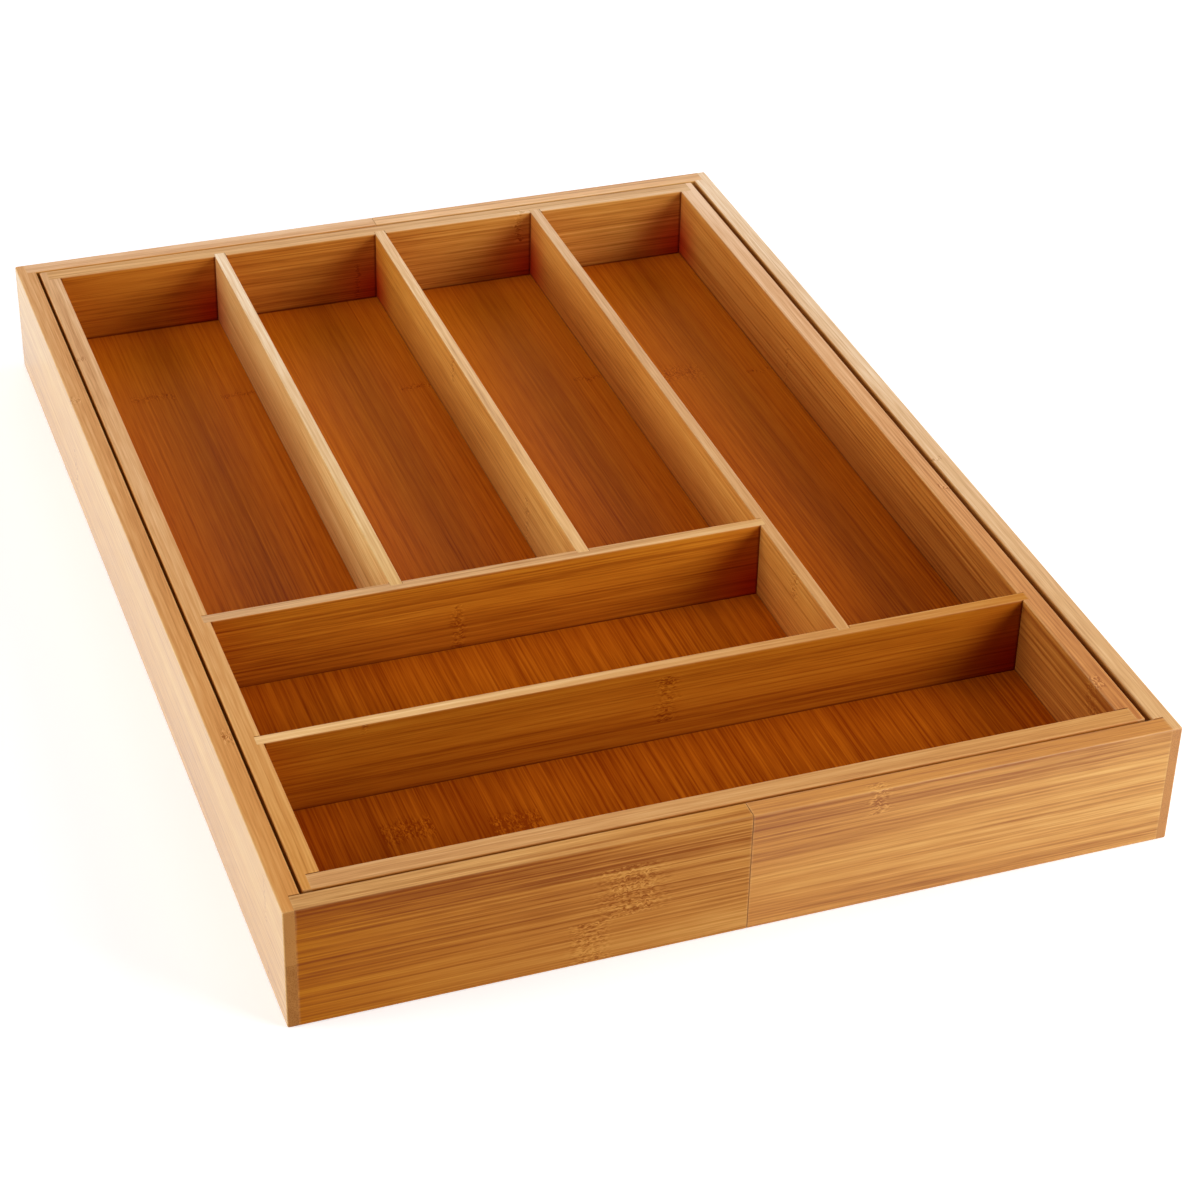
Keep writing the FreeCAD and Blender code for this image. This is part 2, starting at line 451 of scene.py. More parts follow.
    def build_fibres(self) -> bpy.types.NodeTree:
        """Makes the group for the fibres of the strips, which bend at the knuckles.

        Returns:
            The group.
        """
        graph = GroupGraph(
            "bamboo fibres",
            [("Along", "Float"), ("Across", "Float"), ("Through", "Float"), ("Seed", "Float"),
             ("Slope", "Float"), ("Knuckle", "Float")],
            [("Bands", "Float"), ("Streaks", "Float"), ("Lines", "Float"), ("Dashes", "Float"),
             ("Specks", "Float"), ("Cloud", "Float")])
        takes, grain = graph.takes, self.grain
        start = graph.math("FRACT", graph.math("MULTIPLY", takes["Seed"], grain.seed_step))
        along_run, across_run = grain.seed_run
        along = graph.math("MULTIPLY_ADD", start, along_run, takes["Along"])
        across = graph.math("MULTIPLY_ADD", start, across_run, takes["Across"])
        place = (along, across, takes["Through"])
        reach = graph.math("MULTIPLY", takes["Knuckle"], grain.crook_reach)
        bend = graph.centred(graph.stretched(place, grain.crook), reach)
        sway = graph.centred(graph.stretched(place, grain.sway), grain.sway_reach)
        moved = graph.total([bend, sway, graph.math("MULTIPLY", takes["Slope"], takes["Along"])])
        bent = (along, graph.math("ADD", across, moved), graph.math("ADD", takes["Through"], moved))
        for name, noise in (("Bands", grain.bands), ("Streaks", grain.streaks), ("Lines", grain.lines),
                            ("Dashes", grain.dashes), ("Specks", grain.specks)):
            graph.feed(graph.gives[name], graph.stretched(bent, noise))
        graph.feed(graph.gives["Cloud"], graph.stretched(place, grain.cloud))
        return graph.tree

    def build_colour(self) -> bpy.types.NodeTree:
        """Makes the group that mixes the strips and the fibres into a colour and a height.

        Returns:
            The group.
        """
        graph = GroupGraph(
            "bamboo colour",
            [("Along", "Float"), ("Across", "Float"), ("Narrow Face", "Float"), ("Tone", "Float"),
             ("Glue Line", "Float"), ("Knuckle", "Float"), ("Ridge", "Float"), ("Bands", "Float"),
             ("Streaks", "Float"), ("Lines", "Float"), ("Dashes", "Float"), ("Specks", "Float"),
             ("Cloud", "Float"), ("Body Colour", "Color"), ("Narrow Colour", "Color"),
             ("Strip Contrast", "Float"), ("Band Contrast", "Float"), ("Streak Contrast", "Float"),
             ("Line Contrast", "Float"), ("Knuckle Tone", "Float"), ("Along Fade", "Float"),
             ("Across Fade", "Float"), ("Body Start", "Float"), ("Body Paling", "Float"),
             ("Narrow Start", "Float"), ("Narrow Paling", "Float"), ("Body Pale", "Color"),
             ("Narrow Pale", "Color")],
            [("Colour", "Color"), ("Height", "Float")])
        takes, grain = graph.takes, self.grain
        narrow, knuckle = takes["Narrow Face"], takes["Knuckle"]
        height = graph.math("MULTIPLY", takes["Across"], graph.math("SUBTRACT", 1.0, narrow))
        fibres = graph.total([
            graph.centred(takes[f"{name}s"], takes[f"{name} Contrast"])
            for name in ("Band", "Streak", "Line")])
        lively = graph.total([
            1.0, graph.math("MULTIPLY", narrow, grain.narrow_calm),
            graph.math("MULTIPLY", knuckle, grain.knuckle_life)])
        speckled = graph.math("MULTIPLY", knuckle, graph.centred(takes["Specks"], grain.speck_tone))
        # Along Fade and Across Fade are part the board's own tone drift, part painted light: lighter low down
        # and toward the lamps, darker where walls shade.
        tone = graph.total([
            0.5, graph.math("MULTIPLY", fibres, lively),
            graph.centred(takes["Tone"], takes["Strip Contrast"]),
            graph.centred(takes["Cloud"], grain.cloud_tone), speckled,
            graph.centred(takes["Dashes"], grain.dash_tone),
            graph.math("MULTIPLY", knuckle, takes["Knuckle Tone"]),
            graph.math("MULTIPLY", takes["Ridge"], grain.ridge_tone),
            graph.math("MULTIPLY", takes["Glue Line"], grain.glue_tone),
            graph.math("MULTIPLY", takes["Along"], takes["Along Fade"]),
            graph.math("MULTIPLY", height, takes["Across Fade"])])
        # Paling toward one end is part the board's own tone, part painted light and painted sheen.
        faces = []
        for face in ("Body", "Narrow"):
            run = graph.math("SUBTRACT", takes["Along"], takes[f"{face} Start"])
            pale = graph.math("MULTIPLY", run, takes[f"{face} Paling"])
            faces.append(graph.blend(pale, takes[f"{face} Colour"], takes[f"{face} Pale"]))
        # The narrow faces, the board tops, get their own paler colour: edge grain with painted light and
        # painted sheen in it.
        body = graph.blend(narrow, *faces)
        dark = graph.blend(1.0, body, grain.dark, "MULTIPLY")
        light = graph.blend(1.0, body, grain.light, "MULTIPLY")
        lower = graph.blend(graph.math("MULTIPLY", tone, 2.0), dark, body)
        upper = graph.math("MULTIPLY_ADD", tone, 2.0, -1.0)
        graph.feed(graph.gives["Colour"], graph.blend(upper, lower, light))
        relief = graph.total([
            graph.centred(takes["Lines"], grain.line_relief),
            graph.centred(takes["Dashes"], grain.dash_relief),
            graph.math("MULTIPLY", takes["Glue Line"], grain.glue_relief)])
        graph.feed(graph.gives["Height"], relief)
        return graph.tree

    def build_end_grain(self) -> bpy.types.NodeTree:
        """Makes the group for the cut fibre bundles on the end of a board.

        Returns:
            The group.
        """
        graph = GroupGraph(
            "bamboo end grain",
            [("Across", "Float"), ("Through", "Float"), ("Tone", "Float"), ("End Colour", "Color")],
            [("Colour", "Color")])
        takes, grain = graph.takes, self.grain
        made = graph.node("ShaderNodeTexVoronoi", voronoi_dimensions="2D")
        scales = (grain.bundle_scale, grain.bundle_scale, 1.0)
        place = graph.scaled((takes["Across"], takes["Through"], 0.0), scales)
        graph.feed(made.inputs["Vector"], place)
        graph.feed(made.inputs["Scale"], 1.0)
        bundle = graph.fall(made.outputs["Distance"], *grain.bundle_edge)
        wider = graph.vector_math("MULTIPLY", place, (grain.patch_scale,) * 3).outputs["Vector"]
        shade = graph.total([
            grain.end_tone, graph.math("MULTIPLY", bundle, grain.bundle_tone),
            graph.centred(takes["Tone"], grain.end_strip_tone),
            graph.centred(graph.noise(wider, 1.0), grain.patch_tone)])
        dark = graph.blend(1.0, takes["End Colour"], grain.end_dark, "MULTIPLY")
        graph.feed(graph.gives["Colour"], graph.blend(shade, takes["End Colour"], dark))
        return graph.tree

    def build_edges(self) -> bpy.types.NodeTree:
        """Makes the group that finds a board's sanded edges from the board's own corners.

        Returns:
            The group.
        """
        graph = GroupGraph(
            "board edges",
            [("Low Corner", "Vector"), ("High Corner", "Vector"), ("Reach", "Float")],
            [("Edge", "Float")])
        takes, grain = graph.takes, self.grain
        place = graph.node("ShaderNodeTexCoord").outputs["Object"]
        above = graph.vector_math("SUBTRACT", place, takes["Low Corner"]).outputs["Vector"]
        below = graph.vector_math("SUBTRACT", takes["High Corner"], place).outputs["Vector"]
        nearest = graph.vector_math("MINIMUM", above, below).outputs["Vector"]
        parts = graph.node("ShaderNodeSeparateXYZ")
        graph.feed(parts.inputs[0], nearest)
        x, y, z = parts.outputs
        between = graph.math("MINIMUM", graph.math("MAXIMUM", x, y), z)
        middle = graph.math("MAXIMUM", graph.math("MINIMUM", x, y), between)
        finer = graph.vector_math("MULTIPLY", place, (grain.edge_scale,) * 3).outputs["Vector"]
        patchy = graph.math("ADD", graph.noise(finer, grain.edge_detail), grain.edge_least)
        reach = graph.math("MULTIPLY", takes["Reach"], patchy)
        graph.feed(graph.gives["Edge"], graph.fall(middle, 0.0, reach))
        return graph.tree

    def build_joints(self) -> bpy.types.NodeTree:
        """Makes the group for the dark joint line where a board's face meets other boards, and for the
        painted shade in the corners there.

        Returns:
            The group.
        """
        graph = GroupGraph(
            "glued joints and painted shade",
            [("Along", "Float"), ("Across", "Float"), ("Narrow Face", "Float"), ("Outward", "Vector"),
             ("First Joint", "Float"), ("Last Joint", "Float"), ("Joint Pitch", "Float"),
             ("Foot Joint", "Float"), ("Line Reach", "Float"), ("Corner Reach", "Float")],
            [("Line", "Float"), ("Corner", "Float"), ("Painted Deep Shade", "Float")])
        takes, grain = graph.takes, self.grain
        runs = (graph.math("SUBTRACT", takes["Along"], takes["First Joint"]),
                graph.math("SUBTRACT", takes["Last Joint"], takes["Along"]))
        first, last = [graph.math("FLOORED_MODULO", run, takes["Joint Pitch"]) for run in runs]
        foot = graph.math("ABSOLUTE", graph.math("SUBTRACT", takes["Across"], takes["Foot Joint"]))
        nearest = graph.math("MINIMUM", graph.math("MINIMUM", first, last), foot)
        normal = graph.node("ShaderNodeTexCoord").outputs["Normal"]
        outer = graph.rise(graph.dot(normal, takes["Outward"]), *grain.face_turn)
        inner = graph.math("SUBTRACT", 1.0, graph.math("MAXIMUM", outer, takes["Narrow Face"]))
        # Corner is painted shade: the inner faces darken towards their joints and the floor, where shade
        # falls.
        for name in ("Line", "Corner"):
            near = graph.fall(nearest, 0.0, takes[f"{name} Reach"])
            graph.feed(graph.gives[name], graph.math("MULTIPLY", inner, near))
        # The deep corner mask is painted shade: low down at the far joint, where the deepest shade falls.
        far_end, low_down = graph.fall(last, 0.0, grain.deep_run), graph.fall(foot, *grain.deep_rise)
        painted_deep_shade = graph.math("MULTIPLY", far_end, low_down)
        graph.feed(graph.gives["Painted Deep Shade"], graph.math("MULTIPLY", inner, painted_deep_shade))
        return graph.tree


@dataclass(frozen=True)
class Joints:
    """Where the inner faces of a board end at other boards; far away where it meets none, in metres."""

    first: float = -9.0
    last: float = 9.0
    foot: float = -9.0
    pitch: float = 36.0
    outward: Triple = (0.0, 0.0, 0.0)


@dataclass(frozen=True)
class BambooFinish:
    """Satin-lacquered bamboo board, by how it was pressed, cut and sanded, with painted light and shade in
    its colour; lengths in metres.
    """

    fibre: Direction
    strip: Direction
    seed: float
    body: Triple = (0.5, 0.17, 0.022)
    # narrow is the colour of the narrow faces, the board tops: the strips' edge grain with painted light and
    # painted sheen in it.
    narrow: Triple = (0.58, 0.26, 0.05)
    body_pale: Triple = (0.95, 0.63, 0.22)
    narrow_pale: Triple = (0.97, 0.7, 0.45)
    strip_width: float = 20.0 * MM
    strip_start: float = 0.0
    layer_depth: float = 40.0 * MM
    end: Triple = (0.53, 0.23, 0.06)
    strip_contrast: float = 0.2
    band_contrast: float = 0.4
    streak_contrast: float = 0.35
    line_contrast: float = 1.15
    # Fades and paling: part the board's own tone drift, part painted light, lighter low down and toward the
    # lamps, darker where walls shade, paler where tops catch sheen.
    along_fade: float = 0.0
    across_fade: float = 0.0
    paling: float = 0.0
    narrow_paling: float = 0.0
    knuckle_tone: float = -0.03
    knuckle_place: float = 0.0
    knuckle_shift: float = 233.0 * MM
    layer_shift: float = 140.0 * MM
    knuckle_pitch: float = 640.0 * MM
    knuckle_reach: float = 6.5 * MM
    narrow_knuckle: float = 1.0
    edge_reach: float = 0.9 * MM
    joint_reach: float = 1.2 * MM
    # Reach and strength of the painted shade in the inner corners, and strength of the painted deep shade.
    corner_reach: float = 28.0 * MM
    corner_shade: float = 0.3
    deep_shade: float = 0.9
    gloss: float = 0.3
    gloss_roughness: float = 0.42
    coat: float = 0.0
    coat_roughness: float = 0.22
    worn: Triple = (0.74, 0.47, 0.2)
    worn_share: float = 0.18
    # Painted shade: the colour that the inner corners are multiplied towards.
    painted_shade: Triple = (0.62, 0.34, 0.2)
    # Painted shade: the dark red that the deep inner corners are multiplied towards.
    painted_deep_shade: Triple = (0.78, 0.07, 0.06)
    seam: Triple = (0.4, 0.25, 0.12)
    cut_dryness: float = 0.22
    cloud_dryness: float = 0.16
    relief: float = 0.35
    relief_depth: float = 0.12 * MM
    unworn_drop: float = 1.0

    def material(self, name: str, groups: BambooGroups, joints: Joints) -> bpy.types.Material:
        """Makes the material of one board.

        Args:
            name: the node that the board belongs to.
            groups: the shared node groups.
            joints: where the board meets others.

        Returns:
            The material.
        """
        made = bpy.data.materials.new(f"bamboo_{name}")
        made.use_nodes = True
        made.node_tree.nodes.clear()
        graph = Graph(made.node_tree)
        low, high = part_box(name)
        axes = graph.group(groups.axes, {
            "Fibre Direction": self.fibre.value, "Strip Direction": self.strip.value, "Low Corner": low})
        place = {key: axes[key] for key in ("Along", "Across", "Through")}
        face = {key: axes[key] for key in ("Along", "Across", "Narrow Face")}
        strips = graph.group(groups.strips, {
            **place, "Seed": self.seed, "Strip Width": self.strip_width, "Strip Start": self.strip_start,
            "Layer Depth": self.layer_depth, "Knuckle Place": self.knuckle_place,
            "Knuckle Shift": self.knuckle_shift, "Layer Shift": self.layer_shift,
            "Knuckle Pitch": self.knuckle_pitch, "Knuckle Reach": self.knuckle_reach,
            "Narrow Face": axes["Narrow Face"], "Narrow Knuckle": self.narrow_knuckle})
        fibres = graph.group(groups.fibres, {
            **place, "Seed": self.seed, "Slope": strips["Slope"], "Knuckle": strips["Knuckle"]})
        mixed = graph.group(groups.colour, {
            **face, **{key: strips[key] for key in ("Tone", "Glue Line", "Knuckle", "Ridge")},
            **{key: fibres[key] for key in ("Bands", "Streaks", "Lines", "Dashes", "Specks", "Cloud")},
            "Body Colour": (*self.body, 1.0), "Narrow Colour": (*self.narrow, 1.0),
            "Body Pale": (*self.body_pale, 1.0), "Narrow Pale": (*self.narrow_pale, 1.0),
            "Strip Contrast": self.strip_contrast, "Band Contrast": self.band_contrast,
            "Streak Contrast": self.streak_contrast, "Line Contrast": self.line_contrast,
            "Knuckle Tone": self.knuckle_tone, "Along Fade": self.along_fade, "Across Fade": self.across_fade,
            "Body Start": self.pale_start(self.paling, low, high), "Body Paling": self.paling,
            "Narrow Start": self.pale_start(self.narrow_paling, low, high),
            "Narrow Paling": self.narrow_paling})
        ends = graph.group(groups.end_grain, {
            "Across": axes["Across"], "Through": axes["Through"], "Tone": strips["Tone"],
            "End Colour": (*self.end, 1.0)})
        edges = graph.group(groups.edges, {
            "Low Corner": low - Vector((0.0, 0.0, self.unworn_drop)), "High Corner": high,
            "Reach": self.edge_reach})
        meetings = graph.group(groups.joints, {
            **face, "Outward": joints.outward, "First Joint": joints.first, "Last Joint": joints.last,
            "Joint Pitch": joints.pitch, "Foot Joint": joints.foot - low.z,
            "Line Reach": self.joint_reach, "Corner Reach": self.corner_reach})
        colour = graph.blend(axes["End Face"], mixed["Colour"], ends["Colour"])
        worn = graph.blend(graph.math("MULTIPLY", edges["Edge"], self.worn_share), colour, self.worn)
        # Painted shade: the inner faces are darkened towards the corners where they meet other boards.
        painted_shade = graph.math("MULTIPLY", meetings["Corner"], self.corner_shade)
        shaded = graph.blend(painted_shade, worn, self.painted_shade, "MULTIPLY")
        # Painted shade: low down at the far joint the corners are darkened and reddened further.
        painted_deep_shade = graph.math("MULTIPLY", meetings["Painted Deep Shade"], self.deep_shade)
        deep_shaded = graph.blend(painted_deep_shade, shaded, self.painted_deep_shade, "MULTIPLY")
        joined = graph.blend(meetings["Line"], deep_shaded, self.seam, "MULTIPLY")
        uneven = graph.centred(fibres["Cloud"], self.cloud_dryness)
        dryness = graph.math("MULTIPLY_ADD", axes["Narrow Face"], self.cut_dryness, uneven)
        surface = self.surface(graph, joined, dryness, mixed["Height"])
        if self.coat:
            cut_face = graph.math("MAXIMUM", axes["Narrow Face"], axes["End Face"])
            wide = graph.math("SUBTRACT", 1.0, cut_face)
            graph.feed(surface.inputs["Coat Weight"], graph.math("MULTIPLY", wide, self.coat))
            graph.feed(surface.inputs["Coat Roughness"], self.coat_roughness)
        graph.feed(graph.node("ShaderNodeOutputMaterial").inputs["Surface"], surface.outputs[0])
        return made

    def pale_start(self, paling: float, low: Vector, high: Vector) -> float:
        """Finds the end of a board from which it gets paler.

        Args:
            paling: how fast it pales along its fibres, per metre; below zero, it pales from its far end.
            low: the board's low corner.
            high: the board's high corner.

        Returns:
            Place of that end along the fibres.
        """
        return (low if paling >= 0.0 else high).dot(Vector(self.fibre.value))

    def surface(self, graph: Graph, colour: Socket, dryness: Socket, height: Socket) -> bpy.types.Node:
        """Adds the satin surface to a material.

        Args:
            graph: the material's node tree.
            colour: colour of the wood.
            dryness: what the cut faces and the uneven lacquer add to the roughness.
            height: relief of the fibres.

        Returns:
            The shader.
        """
        surface = graph.node("ShaderNodeBsdfPrincipled")
        graph.feed(surface.inputs["Base Color"], colour)
        graph.feed(surface.inputs["Roughness"], graph.math("ADD", dryness, self.gloss_roughness))
        graph.feed(surface.inputs["Specular IOR Level"], self.gloss)
        relief = graph.node("ShaderNodeBump")
        graph.feed(relief.inputs["Strength"], self.relief)
        graph.feed(relief.inputs["Distance"], self.relief_depth)
        graph.feed(relief.inputs["Height"], height)
        graph.feed(surface.inputs["Normal"], relief.outputs[0])
        return surface


RAIL = BambooFinish(Direction.SIDEWAYS, Direction.UPRIGHT, seed=1.0, layer_depth=4.6 * MM)
WALL = BambooFinish(Direction.LENGTHWISE, Direction.UPRIGHT, seed=2.0, layer_depth=4.6 * MM)
FRONT_RAIL = replace(
    RAIL, strip_width=21.5 * MM, strip_start=-3.5 * MM, band_contrast=0.6, streak_contrast=0.4,
    line_contrast=1.1, knuckle_tone=0.04, knuckle_reach=20.0 * MM)
BACK_RAIL = replace(RAIL, knuckle_place=320.0 * MM, knuckle_shift=640.0 * MM)
SLIDE_WALL = replace(
    WALL, body=(0.66, 0.34, 0.078), strip_start=7.0 * MM, knuckle_shift=320.0 * MM, layer_shift=-247.0 * MM,
    band_contrast=0.25, streak_contrast=0.25, line_contrast=0.8, coat=0.88)
FLOOR = BambooFinish(
    Direction.LENGTHWISE, Direction.SIDEWAYS, seed=3.0, body=(0.505, 0.112, 0.0035), strip_width=19.0 * MM,
    strip_contrast=0.1, band_contrast=0.1, streak_contrast=0.12, line_contrast=1.0, knuckle_tone=-0.08,
    knuckle_reach=9.0 * MM, gloss=0.02, gloss_roughness=0.5)


@dataclass
class Board:
    """One board of the tray and its finish."""

    node: str
    finish: BambooFinish
    joints: Joints = Joints()

    def dress(self, groups: BambooGroups) -> None:
        """Gives the board its material.

        Args:
            groups: the shared node groups.
        """
        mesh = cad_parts[self.node].data
        mesh.materials.clear()
        mesh.materials.append(self.finish.material(self.node, groups, self.joints))
        LOG.info("dressed %s", self.node)


@dataclass
class CentreTray:
    """The fixed tray: walls, floor, partitions and the keys that the slides run on."""

    wall: BambooFinish = WALL
    rail: BambooFinish = RAIL
    floor: BambooFinish = FLOOR
    partition: BambooFinish = replace(
        WALL, layer_depth=40.0 * MM, band_contrast=0.25, streak_contrast=0.25, line_contrast=0.9,
        narrow_knuckle=0.0)
    crosswise: BambooFinish = replace(
        RAIL, layer_depth=40.0 * MM, band_contrast=0.4, streak_contrast=0.4, line_contrast=1.2,
        corner_shade=0.4, knuckle_tone=-0.06, narrow_knuckle=0.0, gloss=0.16)
    key_seed: float = 21.0
    boards: List[Board] = field(default_factory=list)

    def build(self) -> None:
        """Lists the boards with their finishes."""
        left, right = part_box("tray_left_wall")[1].x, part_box("tray_right_wall")[0].x
        front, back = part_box("tray_front_wall")[1].y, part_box("tray_back_wall")[0].y
        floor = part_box("tray_floor")[1].z
        sideways, lengthwise = Joints(left, right, floor), Joints(front, back, floor)
        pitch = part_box("spoon_lane_divider")[0].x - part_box("fork_lane_divider")[0].x
        left_side = replace(lengthwise, outward=(-1.0, 0.0, 0.0))
        right_side = replace(lengthwise, outward=(1.0, 0.0, 0.0))
        front_side = replace(sideways, outward=(0.0, -1.0, 0.0))
        back_side = replace(sideways, pitch=pitch, outward=(0.0, 1.0, 0.0))
        lane = replace(lengthwise, first=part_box("short_cross_divider")[1].y)
        long_lane = replace(lengthwise, first=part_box("front_cross_divider")[1].y)
        middle_lane = replace(sideways, last=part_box("long_lane_divider")[0].x)
        self.boards = [
            Board("tray_left_wall", replace(
                self.wall, seed=19.0, narrow=(0.63, 0.262, 0.052), narrow_paling=0.8,
                knuckle_place=144.0 * MM, knuckle_shift=320.0 * MM, gloss=0.08), left_side),
            Board("tray_right_wall", replace(
                self.wall, seed=928.0, body=(0.47, 0.165, 0.022), narrow=(0.6, 0.235, 0.048),
                narrow_paling=0.75, strip_start=8.2 * MM, knuckle_place=85.0 * MM, knuckle_shift=-286.0 * MM,
                streak_contrast=0.4, line_contrast=1.6, along_fade=1.2), right_side),
            Board("tray_front_wall", replace(
                self.rail, seed=1299.0, narrow=(0.59, 0.265, 0.066), narrow_paling=-0.35,
                knuckle_place=330.0 * MM, knuckle_shift=320.0 * MM, gloss=0.2), front_side),
            Board("tray_back_wall", replace(
                self.rail, seed=2581.0, body=(0.52, 0.155, 0.008), narrow=(0.68, 0.35, 0.12),
                body_pale=(0.95, 0.6, 0.15), paling=0.95, narrow_paling=0.95, corner_shade=0.15,
                strip_start=7.0 * MM, knuckle_place=-12.0 * MM, knuckle_shift=78.0 * MM,
                gloss=0.18), back_side),
            Board("tray_floor", replace(
                self.floor, seed=7190.0, along_fade=1.5, knuckle_place=-159.0 * MM,
                knuckle_shift=-324.0 * MM), replace(lengthwise, foot=Joints.foot)),
            Board("fork_lane_divider", replace(
                self.partition, seed=248.0, body=(0.6, 0.3, 0.085), narrow=(0.68, 0.37, 0.115), paling=-1.6,
                narrow_paling=2.5, deep_shade=0.5, knuckle_place=320.0 * MM, knuckle_shift=640.0 * MM), lane),
            Board("spoon_lane_divider", replace(
                self.partition, seed=118.0, body=(0.55, 0.21, 0.02), narrow=(0.75, 0.41, 0.15), paling=-1.2,
                narrow_paling=1.1, knuckle_place=-1.0 * MM, knuckle_shift=100.0 * MM), lane),
            Board("long_lane_divider", replace(
                self.partition, seed=280.0, body=(0.585, 0.235, 0.038), narrow=(0.6, 0.275, 0.075),
                corner_shade=0.5, narrow_paling=0.95, knuckle_place=-333.0 * MM), long_lane),
            Board("short_cross_divider", replace(
                self.crosswise, seed=70.0, body=(0.58, 0.182, 0.009), narrow=(0.67, 0.34, 0.11),
                narrow_paling=-1.6, along_fade=1.3, knuckle_place=-52.0 * MM), middle_lane),
            Board("front_cross_divider", replace(
                self.crosswise, seed=1083.0, body=(0.455, 0.131, 0.006), narrow=(0.5, 0.175, 0.02),
                narrow_pale=(0.86, 0.51, 0.21), narrow_paling=-3.2, gloss=0.08, strip_start=8.0 * MM,
                knuckle_place=3.0 * MM, knuckle_shift=-114.0 * MM), sideways),
        ]
        for number, side in enumerate(Side):
            for place in ("front", "back"):
                key = f"{side.value}_{place}_guide_key"
                self.boards.append(Board(key, replace(self.rail, seed=self.key_seed + number)))

    def dress(self, groups: BambooGroups) -> None:
        """Dresses every board of the tray."""
        for board in self.boards:
            board.dress(groups)


@dataclass
class Slide:
    """One of the two U-shaped slides: side wall, front and back rail and floor."""

    side: Side
    floor_seed: float
    front: BambooFinish
    back: BambooFinish
    wall: BambooFinish
    boards: List[Board] = field(default_factory=list)

    def build(self) -> None:
        """Lists the boards with their finishes."""
        name = self.side.value
        self.boards = [
            Board(f"{name}_slide_wall", self.wall),
            Board(f"{name}_slide_front_rail", self.front),
            Board(f"{name}_slide_back_rail", self.back),
            Board(f"{name}_slide_floor", replace(FLOOR, seed=self.floor_seed)),
        ]

    def dress(self, groups: BambooGroups) -> None:
        """Dresses every board of the slide."""
        for board in self.boards:
            board.dress(groups)


@dataclass
class Lamp:
    """Soft square lamp of the studio; lengths in metres."""

    name: str
    place: Triple
    size: float
    power: float
    aim: Triple = (0.0, 0.0, 0.0)

    def build(self) -> None:
        """Adds the lamp to the scene."""
        data = bpy.data.lights.new(self.name, "AREA")
        data.shape = "SQUARE"
        data.size = self.size
        data.energy = self.power
        lamp = bpy.data.objects.new(self.name, data)
        bpy.context.scene.collection.objects.link(lamp)
        lamp.location = self.place
        lamp.rotation_euler = (Vector(self.aim) - Vector(self.place)).to_track_quat("-Z", "Y").to_euler()


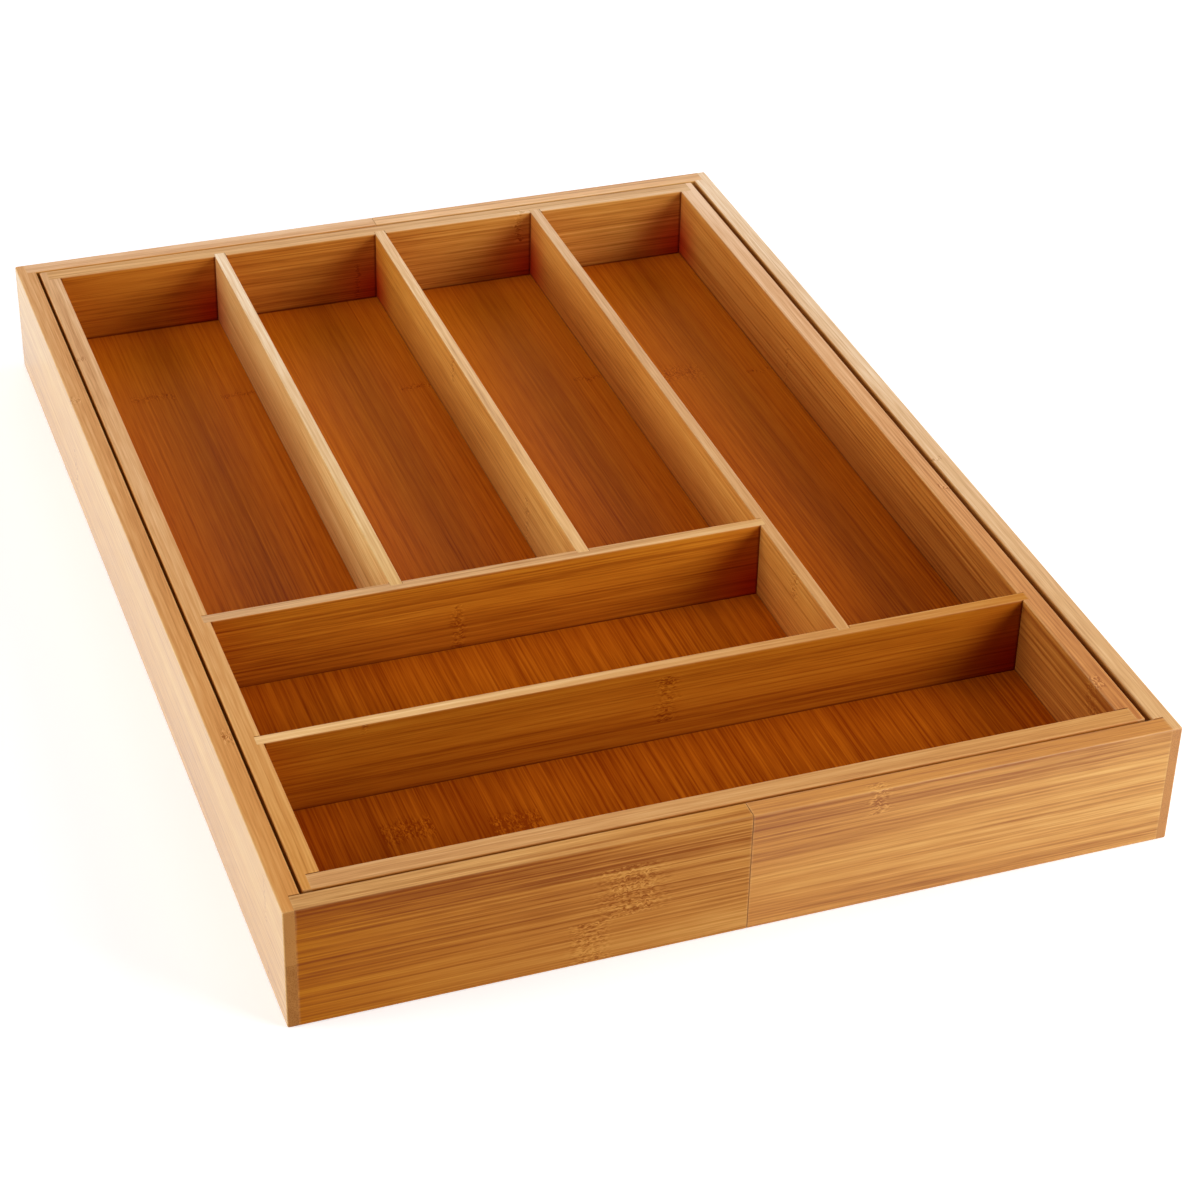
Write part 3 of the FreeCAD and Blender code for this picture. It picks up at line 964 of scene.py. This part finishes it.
@dataclass
class Studio:
    """White floor, soft lamps and the camera; lengths in metres."""

    floor_half: float = 0.9
    floor_colour: Triple = (0.8, 0.8, 0.8)
    floor_glow: float = 0.47
    ambient: float = 0.03
    white: Triple = (1.0, 1.0, 1.0)
    image_width: float = 1200.0
    focal_pixels: float = 3000.6
    sensor: float = 36.0
    eye: Triple = (-333.5 * MM, -971.2 * MM, 679.6 * MM)
    aim: Triple = (7.3 * MM, -60.4 * MM, 25.0 * MM)
    roll: float = 1.57
    lamps: Tuple[Lamp, ...] = (
        Lamp("left_lamp", (-1.9, 0.0, 0.75), 1.2, 32.0),
        Lamp("right_lamp", (1.9, 0.0, 1.0), 2.0, 25.0),
        Lamp("back_lamp", (0.2, 2.0, 1.1), 1.6, 12.0),
        Lamp("front_lamp", (0.75, -0.95, 0.45), 0.5, 9.8),
        Lamp("top_lamp", (0.0, 0.0, 2.2), 1.6, 8.0),
    )

    def build_world(self) -> None:
        """Makes a world that looks white and lights the tray softly."""
        world = bpy.data.worlds.new("white_studio")
        bpy.context.scene.world = world
        world.use_nodes = True
        world.node_tree.nodes.clear()
        graph = Graph(world.node_tree)
        seen = graph.node("ShaderNodeBackground")
        lit = graph.node("ShaderNodeBackground")
        for background, strength in ((seen, 1.0), (lit, self.ambient)):
            graph.feed(background.inputs["Color"], (*self.white, 1.0))
            graph.feed(background.inputs["Strength"], strength)
        mixed = graph.node("ShaderNodeMixShader")
        graph.feed(mixed.inputs[0], self.seen_rays(graph))
        graph.feed(mixed.inputs[1], lit.outputs[0])
        graph.feed(mixed.inputs[2], seen.outputs[0])
        graph.feed(graph.node("ShaderNodeOutputWorld").inputs["Surface"], mixed.outputs[0])

    @staticmethod
    def seen_rays(graph: Graph) -> Socket:
        """Tells the rays that see the background from those that only gather light.

        Args:
            graph: the node tree to add to.

        Returns:
            One for camera, glossy and transmission rays, and zero for the others.
        """
        path = graph.node("ShaderNodeLightPath").outputs
        glossy = graph.math("MAXIMUM", path["Is Glossy Ray"], path["Is Transmission Ray"])
        return graph.math("MAXIMUM", path["Is Camera Ray"], glossy)

    def build_floor(self) -> None:
        """Adds the white floor that the tray stands on."""
        half = self.floor_half
        mesh = bpy.data.meshes.new("floor")
        corners = [(-half, -half, 0.0), (half, -half, 0.0), (half, half, 0.0), (-half, half, 0.0)]
        mesh.from_pydata(corners, [], [(0, 1, 2, 3)])
        floor = bpy.data.objects.new("floor", mesh)
        bpy.context.scene.collection.objects.link(floor)
        material = bpy.data.materials.new("white_floor")
        material.use_nodes = True
        material.node_tree.nodes.clear()
        graph = Graph(material.node_tree)
        paper = graph.node("ShaderNodeBsdfDiffuse")
        graph.feed(paper.inputs["Color"], (*self.floor_colour, 1.0))
        glow = graph.node("ShaderNodeEmission")
        graph.feed(glow.inputs["Strength"], graph.math("MULTIPLY", self.seen_rays(graph), self.floor_glow))
        both = graph.node("ShaderNodeAddShader")
        graph.feed(both.inputs[0], paper.outputs[0])
        graph.feed(both.inputs[1], glow.outputs[0])
        graph.feed(graph.node("ShaderNodeOutputMaterial").inputs["Surface"], both.outputs[0])
        mesh.materials.append(material)

    def place_camera(self) -> None:
        """Adds the camera at the photograph's angle."""
        data = bpy.data.cameras.new("camera")
        data.sensor_width = self.sensor
        data.lens = self.focal_pixels * self.sensor / self.image_width
        camera = bpy.data.objects.new("camera", data)
        bpy.context.scene.collection.objects.link(camera)
        camera.location = self.eye
        level = (Vector(self.aim) - Vector(self.eye)).to_track_quat("-Z", "Y")
        tilt = Quaternion((0.0, 0.0, 1.0), math.radians(self.roll))
        camera.rotation_euler = (level @ tilt).to_euler()
        bpy.context.scene.camera = camera

    def build(self) -> None:
        """Builds the world, the floor, the lamps and the camera."""
        bpy.context.scene.view_settings.view_transform = "Standard"
        self.build_world()
        self.build_floor()
        for lamp in self.lamps:
            lamp.build()
        self.place_camera()


def main() -> None:
    """Dresses the tray and its slides and builds the studio."""
    logging.basicConfig(level=logging.INFO)
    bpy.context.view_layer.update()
    groups = BambooGroups(Grain())
    assemblies = (
        CentreTray(),
        Slide(
            Side.LEFT, floor_seed=34.0,
            front=replace(
                FRONT_RAIL, seed=11553.0, body=(0.46, 0.132, 0.003), narrow=(0.6, 0.255, 0.05),
                narrow_pale=(0.97, 0.7, 0.34), paling=1.2, narrow_paling=-1.8, strip_contrast=0.1,
                band_contrast=0.8, streak_contrast=0.55, line_contrast=1.6, across_fade=-3.8,
                knuckle_place=-58.4 * MM, knuckle_shift=14.8 * MM, gloss=0.1),
            back=replace(BACK_RAIL, seed=33.0, body=(0.55, 0.19, 0.02), narrow=(0.75, 0.41, 0.19)),
            wall=replace(
                SLIDE_WALL, seed=229.0, narrow=(0.65, 0.275, 0.068), narrow_paling=0.35,
                knuckle_place=110.0 * MM, gloss=0.05)),
        Slide(
            Side.RIGHT, floor_seed=44.0,
            front=replace(
                FRONT_RAIL, seed=63.0, body=(0.575, 0.227, 0.035), narrow=(0.57, 0.23, 0.036), paling=1.5,
                across_fade=-4.0, knuckle_place=427.0 * MM, knuckle_shift=-190.0 * MM, gloss=0.4),
            back=replace(BACK_RAIL, seed=43.0, body=(0.6, 0.27, 0.05), narrow=(0.82, 0.465, 0.215)),
            wall=replace(
                SLIDE_WALL, seed=85.0, body=(0.53, 0.225, 0.045), narrow=(0.66, 0.355, 0.13),
                narrow_paling=1.4, knuckle_place=-40.0 * MM, gloss=0.4, coat=0.3)),
    )
    for assembly in assemblies:
        assembly.build()
        assembly.dress(groups)
    Studio().build()


if __name__ == "__main__":
    main()
